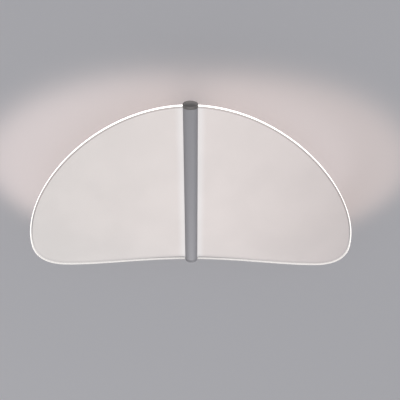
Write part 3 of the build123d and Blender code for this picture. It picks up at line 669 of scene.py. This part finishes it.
def growMesh(name, points, tree, values):
    # a plain mesh from the tree's result on a few starting points
    seed = bpy.data.meshes.new(name + "Points")
    seed.from_pydata(points, [], [])
    holder = addObject(name + "Seed", seed)
    modifier = holder.modifiers.new(name, "NODES")
    modifier.node_group = tree
    sockets = {item.name: item.identifier for item in tree.interface.items_tree
               if item.item_type == "SOCKET" and item.in_out == "INPUT"}
    for label, value in values.items():
        modifier[sockets[label]] = value
    evaluated = holder.evaluated_get(bpy.context.evaluated_depsgraph_get())
    mesh = bpy.data.meshes.new_from_object(evaluated)
    mesh.name = name
    holder.modifiers.clear()
    bpy.data.objects.remove(holder)
    bpy.data.meshes.remove(seed)
    mesh.shade_smooth()
    mesh.set_sharp_from_angle(angle=math.radians(grownSharpAngle))
    return mesh


lightChips = {
    "count": 46,
    "pitch": 8.0,
    "length": 2.8,
    "windowShare": 0.78,     # width of the phosphor window against the chip
    "recess": 0.12,
    "glow": 0.5,
    "glowColour": (1.0, 0.86, 0.6),
}


def makeChipTree():
    # a row of chips, each a white housing with a sunk phosphor window on its outer face
    tree, given, result = newTree("chipRow", [
        ("Count", "NodeSocketInt", 46), ("Pitch", "NodeSocketFloat", 0.008),
        ("Size", "NodeSocketVector", None), ("Facing", "NodeSocketVector", None),
        ("Window", "NodeSocketFloat", 0.78), ("Recess", "NodeSocketFloat", 0.0001),
        ("Housing", "NodeSocketMaterial", None), ("Phosphor", "NodeSocketMaterial", None)])
    use = given.outputs
    step = addNode(tree, "ShaderNodeCombineXYZ", Y=use["Pitch"]).outputs[0]
    row = addNode(tree, "GeometryNodeMeshLine", Count=use["Count"], Offset=step).outputs["Mesh"]
    rows = addNode(tree, "GeometryNodeInstanceOnPoints", Points=use["Geometry"], Instance=row)
    spots = addNode(tree, "GeometryNodeRealizeInstances", Geometry=rows.outputs[0]).outputs[0]
    chip = addNode(tree, "GeometryNodeMeshCube", Size=use["Size"]).outputs["Mesh"]
    facing = tree.nodes.new("ShaderNodeVectorMath")
    facing.operation = "DOT_PRODUCT"
    tree.links.new(tree.nodes.new("GeometryNodeInputNormal").outputs["Normal"], facing.inputs[0])
    tree.links.new(use["Facing"], facing.inputs[1])
    front = mathNode(tree, "GREATER_THAN", facing.outputs["Value"], 0.5)
    flat = addNode(tree, "GeometryNodeExtrudeMesh", Mesh=chip, Selection=front, Offset_Scale=0.0)
    window = addNode(tree, "GeometryNodeScaleElements", Geometry=flat.outputs["Mesh"],
                     Selection=flat.outputs["Top"], Scale=use["Window"])
    depth = mathNode(tree, "MULTIPLY", use["Recess"], -1.0)
    sunk = addNode(tree, "GeometryNodeExtrudeMesh", Mesh=window.outputs[0],
                   Selection=flat.outputs["Top"], Offset_Scale=depth)
    placed = addNode(tree, "GeometryNodeInstanceOnPoints", Points=spots, Instance=sunk.outputs["Mesh"])
    solid = addNode(tree, "GeometryNodeRealizeInstances", Geometry=placed.outputs[0]).outputs[0]
    housed = addNode(tree, "GeometryNodeSetMaterial", Geometry=solid, Material=use["Housing"]).outputs[0]
    lit = addNode(tree, "GeometryNodeSetMaterial", Geometry=housed, Selection=sunk.outputs["Top"],
                  Material=use["Phosphor"]).outputs[0]
    tree.links.new(lit, result.inputs["Geometry"])
    return tree


grubScrews = {
    "radius": 1.5,
    "threadPitch": 0.5,
    "threadDepth": 0.16,
    "cutsPerTurn": 4,
    "threadedShare": 0.96,   # of the screw's length
    "vertices": 24,
    "socketRadius": 0.86,
    "socketDepth": 1.3,
    "deepestSocket": 0.5,    # against the screw's length
}


def makeScrewTree():
    # a headless screw with a helical thread and a six-sided socket in its upper end, at each point
    tree, given, result = newTree("grubScrew", [
        ("Radius", "NodeSocketFloat", 0.0015), ("Length", "NodeSocketFloat", 0.005),
        ("Vertices", "NodeSocketInt", 24), ("Cuts", "NodeSocketInt", 40),
        ("Pitch", "NodeSocketFloat", 0.0005), ("Depth", "NodeSocketFloat", 0.0002),
        ("Threaded", "NodeSocketFloat", 0.96), ("Socket Radius", "NodeSocketFloat", 0.0008),
        ("Socket Depth", "NodeSocketFloat", 0.001), ("Steel", "NodeSocketMaterial", None)])
    use = given.outputs
    pin = addNode(tree, "GeometryNodeMeshCylinder", Vertices=use["Vertices"],
                  Side_Segments=use["Cuts"], Radius=use["Radius"], Depth=use["Length"])
    position = tree.nodes.new("GeometryNodeInputPosition").outputs[0]
    x, y, z = addNode(tree, "ShaderNodeSeparateXYZ", Vector=position).outputs

    # the thread: the wall is drawn in by a ridge that climbs one pitch in each turn
    angle = mathNode(tree, "ARCTAN2", y, x)
    climb = mathNode(tree, "DIVIDE", z, use["Pitch"])
    turns = mathNode(tree, "FRACT", mathNode(tree, "MULTIPLY_ADD", angle, 1 / math.tau, climb))
    ridge = mathNode(tree, "ABSOLUTE", mathNode(tree, "SUBTRACT", turns, 0.5))
    cut = mathNode(tree, "DIVIDE", use["Depth"], use["Radius"])
    drawn = mathNode(tree, "MULTIPLY", mathNode(tree, "MULTIPLY", ridge, 2.0), cut)
    shrink = mathNode(tree, "SUBTRACT", 1.0, drawn)
    end = mathNode(tree, "MULTIPLY", mathNode(tree, "MULTIPLY", use["Length"], use["Threaded"]), 0.5)
    inside = mathNode(tree, "LESS_THAN", mathNode(tree, "ABSOLUTE", z), end)
    thread = addNode(tree, "ShaderNodeCombineXYZ", X=mathNode(tree, "MULTIPLY", x, shrink),
                     Y=mathNode(tree, "MULTIPLY", y, shrink), Z=z).outputs[0]
    threaded = addNode(tree, "GeometryNodeSetPosition", Geometry=pin.outputs["Mesh"], Selection=inside,
                       Position=thread).outputs[0]

    # the socket: a copy of the end face, drawn in to a hexagon and sunk
    flat = addNode(tree, "GeometryNodeExtrudeMesh", Mesh=threaded, Selection=pin.outputs["Top"],
                   Offset_Scale=0.0)
    share = mathNode(tree, "DIVIDE", use["Socket Radius"], use["Radius"])
    mouth = addNode(tree, "GeometryNodeScaleElements", Geometry=flat.outputs["Mesh"],
                    Selection=flat.outputs["Top"], Scale=share).outputs[0]
    sixth = math.tau / 6
    within = mathNode(tree, "MODULO", mathNode(tree, "ADD", angle, math.tau), sixth)
    flatness = mathNode(tree, "DIVIDE", math.cos(sixth / 2),
                        mathNode(tree, "COSINE", mathNode(tree, "SUBTRACT", within, sixth / 2)))
    hexagon = addNode(tree, "ShaderNodeCombineXYZ", X=mathNode(tree, "MULTIPLY", x, flatness),
                      Y=mathNode(tree, "MULTIPLY", y, flatness), Z=z).outputs[0]
    sided = addNode(tree, "GeometryNodeSetPosition", Geometry=mouth, Selection=flat.outputs["Top"],
                    Position=hexagon).outputs[0]
    drop = mathNode(tree, "MULTIPLY", use["Socket Depth"], -1.0)
    sunk = addNode(tree, "GeometryNodeExtrudeMesh", Mesh=sided, Selection=flat.outputs["Top"],
                   Offset_Scale=drop)
    placed = addNode(tree, "GeometryNodeInstanceOnPoints", Points=use["Geometry"],
                     Instance=sunk.outputs["Mesh"])
    solid = addNode(tree, "GeometryNodeRealizeInstances", Geometry=placed.outputs[0]).outputs[0]
    steel = addNode(tree, "GeometryNodeSetMaterial", Geometry=solid, Material=use["Steel"]).outputs[0]
    tree.links.new(steel, result.inputs["Geometry"])
    return tree


def growScrews(name, node, count):
    # a row of upright screws along the depth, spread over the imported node's box
    low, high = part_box(node)
    radius = grubScrews["radius"] * mm
    pitch = grubScrews["threadPitch"] * mm
    first, last = low.y + radius, high.y - radius
    length = high.z - low.z
    places = [((low.x + high.x) / 2, first + (last - first) * k / (count - 1), (low.z + high.z) / 2)
              for k in range(count)]
    mesh = growMesh(name, places, screwTree, {
        "Radius": radius, "Length": length, "Vertices": grubScrews["vertices"], "Pitch": pitch,
        "Cuts": round(length / pitch * grubScrews["cutsPerTurn"]),
        "Depth": grubScrews["threadDepth"] * mm, "Threaded": grubScrews["threadedShare"],
        "Socket Radius": grubScrews["socketRadius"] * mm,
        "Socket Depth": min(grubScrews["socketDepth"] * mm, grubScrews["deepestSocket"] * length),
        "Steel": finishMaterials["zinc_steel"]})
    addPiece(name, mesh, [node], [])


def growChips(name, node, sign):
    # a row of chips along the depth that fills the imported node's box
    low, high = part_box(node)
    size = (high.x - low.x, lightChips["length"] * mm, high.z - low.z)
    first = ((low.x + high.x) / 2, low.y + size[1] / 2, (low.z + high.z) / 2)
    mesh = growMesh(name, [first], chipTree, {
        "Count": lightChips["count"], "Pitch": lightChips["pitch"] * mm, "Size": size,
        "Facing": (sign, 0, 0), "Window": lightChips["windowShare"],
        "Recess": lightChips["recess"] * mm, "Housing": finishMaterials["board_white"],
        "Phosphor": finishMaterials["led_yellow"]})
    addPiece(name, mesh, [node], [])


phosphor = finishMaterials["led_yellow"].node_tree.nodes["Principled BSDF"]
phosphor.inputs["Emission Color"].default_value = (*lightChips["glowColour"], 1)
phosphor.inputs["Emission Strength"].default_value = lightChips["glow"]
screwTree, chipTree = makeScrewTree(), makeChipTree()
for side, sign in sides.items():
    growChips("lightChips" + side.title(), "led_chips_" + side, sign)
    growScrews("wingScrews" + side.title(), "wing_screws_" + side, 4)
growScrews("capScrews", "cap_screws", 2)
print("chips and screws grown")


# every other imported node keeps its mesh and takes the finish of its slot

for entry in frame["record"]["subparts"]:
    if entry["material_slot"] in finishMaterials:
        slots = nodes[entry["node"]].data.materials
        slots.clear()
        slots.append(finishMaterials[entry["material_slot"]])
print("finishes given to the other nodes")


# stage: a pale ceiling seen only from below, and a pale floor

stage = {
    "ceilingHeight": 0.0004,
    "ceilingHalf": 9.0,
    "ceilingColour": (0.814, 0.797, 0.805),
    "floorHeight": -2.4,
    "floorHalf": 22.0,
    "floorColour": (0.72, 0.72, 0.71),
    "roughness": 0.9,
    "specular": 0.1,
    "ambient": (0.93, 0.95, 1.0),
    "ambientLevel": 0.47,
    "background": (0.80, 0.80, 0.81),
}


def stagePlane(name, height, half, facing, colour):
    corners = [(x * half, y * half, height) for x, y in ((-1, -1), (1, -1), (1, 1), (-1, 1))]
    mesh = bpy.data.meshes.new(name)
    mesh.from_pydata(corners, [], [(0, 1, 2, 3) if facing > 0 else (3, 2, 1, 0)])
    plane = addObject(name, mesh)
    material, tree, shader = newMaterial(name)
    shader.inputs["Base Color"].default_value = (*colour, 1)
    shader.inputs["Roughness"].default_value = stage["roughness"]
    shader.inputs["Specular IOR Level"].default_value = stage["specular"]
    mesh.materials.append(material)
    plane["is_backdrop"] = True
    return plane, tree, shader


floor, _, _ = stagePlane(
    "floor", stage["floorHeight"], stage["floorHalf"], 1, stage["floorColour"])
floor.visible_diffuse = False
floor.visible_shadow = False
ceiling, ceilingTree, ceilingShader = stagePlane(
    "ceiling", stage["ceilingHeight"], stage["ceilingHalf"], -1, stage["ceilingColour"])

# from above, and for the lamps, the ceiling is not there
facing = ceilingTree.nodes.new("ShaderNodeNewGeometry")
path = ceilingTree.nodes.new("ShaderNodeLightPath")
clear = ceilingTree.nodes.new("ShaderNodeBsdfTransparent")
choice = ceilingTree.nodes.new("ShaderNodeMixShader")
hidden = mathNode(ceilingTree, "MAXIMUM", facing.outputs["Backfacing"], path.outputs["Is Shadow Ray"])
ceilingTree.links.new(hidden, choice.inputs["Fac"])
ceilingTree.links.new(ceilingShader.outputs["BSDF"], choice.inputs[1])
ceilingTree.links.new(clear.outputs["BSDF"], choice.inputs[2])
ceilingTree.links.new(choice.outputs["Shader"],
                      ceilingTree.nodes["Material Output"].inputs["Surface"])

# the world lights the object, and shows as a pale background past the stage
world = bpy.data.worlds.new("studio")
world.use_nodes = True
bpy.context.scene.world = world
air = world.node_tree
ambient = air.nodes["Background"]
ambient.inputs["Color"].default_value = (*stage["ambient"], 1)
ambient.inputs["Strength"].default_value = stage["ambientLevel"]
backdrop = air.nodes.new("ShaderNodeBackground")
backdrop.inputs["Color"].default_value = (*stage["background"], 1)
rays = air.nodes.new("ShaderNodeLightPath")
blend = air.nodes.new("ShaderNodeMixShader")
mirrored = mathNode(air, "MAXIMUM", rays.outputs["Is Glossy Ray"], rays.outputs["Is Transmission Ray"])
air.links.new(mathNode(air, "MAXIMUM", rays.outputs["Is Camera Ray"], mirrored), blend.inputs["Fac"])
air.links.new(ambient.outputs["Background"], blend.inputs[1])
air.links.new(backdrop.outputs["Background"], blend.inputs[2])
air.links.new(blend.outputs["Shader"], air.nodes["World Output"].inputs["Surface"])

# most softboxes light the object alone, so that the ceiling shows the glow of the wings
objectOnly = bpy.data.collections.new("objectOnly")
metalOnly = bpy.data.collections.new("metalOnly")
ceilingOnly = bpy.data.collections.new("ceilingOnly")
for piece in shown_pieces():
    objectOnly.objects.link(piece)
    if piece.name not in ("wingLeft", "wingRight"):
        metalOnly.objects.link(piece)
ceilingOnly.objects.link(ceiling)

softboxes = {
    # place, what it looks at, size, power, colour, and what it lights where that isn't everything
    "keyBelow": ((1.3, 0.3, -1.5), (0, 0, -0.08), (1.2, 1.2), 4.5, (0.97, 0.98, 1.0), objectOnly),
    "fillBelow": ((-1.4, -0.4, -1.4), (0, 0, -0.08), (1.4, 1.4), 4.5, (1.0, 0.98, 0.96), objectOnly),
    "farBelow": ((0.1, 1.0, -0.85), (0, 0.15, -0.08), (1.6, 0.6), 6.0, (1.0, 0.98, 1.0), metalOnly),
    "room": ((-1.5, 2.2, -2.0), (0, 0.4, 0), (2.4, 2.4), 5.0, (0.97, 0.98, 1.0), None),
    "above": ((0.4, -0.4, 1.6), (0, 0, -0.05), (1.6, 1.6), 22.0, (1.0, 1.0, 1.0), objectOnly),
}

# the light that the wings' edges and upper faces throw on the ceiling: one soft pool for each wing
ceilingGlow = {
    "height": -0.070,
    "spread": 95.0,
    "pools": {
        # centre, size, power and colour
        "glowLeft": ((-0.050, -0.006), (0.850, 0.452), 0.350, (1.0, 0.810, 0.735)),
        "glowRight": ((0.090, -0.006), (0.840, 0.452), 0.255, (1.0, 0.749, 0.626)),
    },
}


def addLamp(name, shape, size, power, colour, receivers):
    # an area lamp that the camera doesn't see
    lamp = bpy.data.lights.new(name, "AREA")
    lamp.shape = shape
    lamp.size, lamp.size_y = size
    lamp.energy = power
    lamp.color = colour
    holder = addObject(name, lamp)
    holder.visible_camera = False
    if receivers:
        holder.light_linking.receiver_collection = receivers
    return holder


for name, (place, target, size, power, colour, receivers) in softboxes.items():
    holder = addLamp(name, "RECTANGLE", size, power, colour, receivers)
    holder.location = place
    holder.rotation_euler = (Vector(target) - Vector(place)).to_track_quat("-Z", "Y").to_euler()
for name, (centre, size, power, colour) in ceilingGlow["pools"].items():
    holder = addLamp(name, "ELLIPSE", size, power, colour, ceilingOnly)
    holder.data.spread = math.radians(ceilingGlow["spread"])
    holder.location = (*centre, ceilingGlow["height"])
    holder.rotation_euler = (math.pi, 0, 0)
print("stage and lamps made")

# the camera stands where the photograph's did
view = {
    "place": (0.0133, -0.5124, -0.8624),
    "upward": 55.504,
    "turn": 0.721,
    "roll": -0.413,
    "lens": 38.42,
    "sensor": 36.0,
}
camera = addObject("camera", bpy.data.cameras.new("camera"))
camera.data.lens = view["lens"]
camera.data.sensor_width = view["sensor"]
camera.location = view["place"]
upward, turn = math.radians(view["upward"]), math.radians(view["turn"])
look = Vector((math.cos(upward) * math.sin(turn), math.cos(upward) * math.cos(turn),
               math.sin(upward)))
roll = Quaternion((0, 0, 1), math.radians(view["roll"]))
camera.rotation_euler = (look.to_track_quat("-Z", "Y") @ roll).to_euler()
bpy.context.scene.camera = camera
bpy.context.scene.view_settings.view_transform = "Standard"
print("camera placed")
